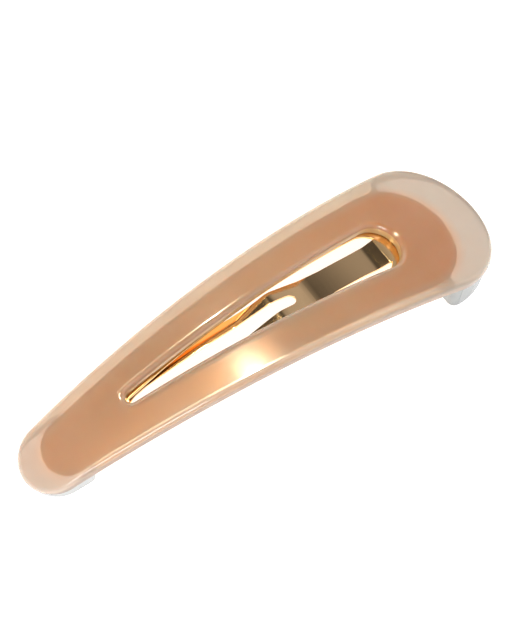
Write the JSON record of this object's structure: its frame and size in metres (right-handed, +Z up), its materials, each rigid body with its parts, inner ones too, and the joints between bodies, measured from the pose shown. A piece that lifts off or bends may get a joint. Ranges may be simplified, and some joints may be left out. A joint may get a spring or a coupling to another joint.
{
  "type": "snap hair clip",
  "caption": "Arched drop-shaped hair clip: translucent shell over a sprung sheet-metal clip whose slotted tongue grips the hair.",
  "frame": {"origin": "on the surface that the clip stands on, under the middle of its bounding box", "axes": "+X along the clip from the narrow tip to the wide end, +Y across it, +Z up through the arch"},
  "size_m": [0.0858, 0.0242, 0.012],
  "materials": {
    "shell": "polished translucent peach acrylic",
    "gold_metal": "bright gold-coloured plating on spring steel",
    "clear_pad": "clear moulded plastic"
  },
  "bodies": {
    "clip": {"shell": "shell", "snap_frame": "gold_metal", "tip_pad": "clear_pad", "wide_pad": "clear_pad"},
    "tongue": {"tongue": "gold_metal"}
  },
  "joints": [
    {"name": "tongue_flex", "type": "hinge", "parent": "clip", "child": "tongue", "pos_m": [0.02301, 0, 0.00695], "axis": [0, -1, 0], "range_deg": [0, 20], "stiffness_Nm_per_rad": 0.05, "springref_deg": -11.46}
  ]
}
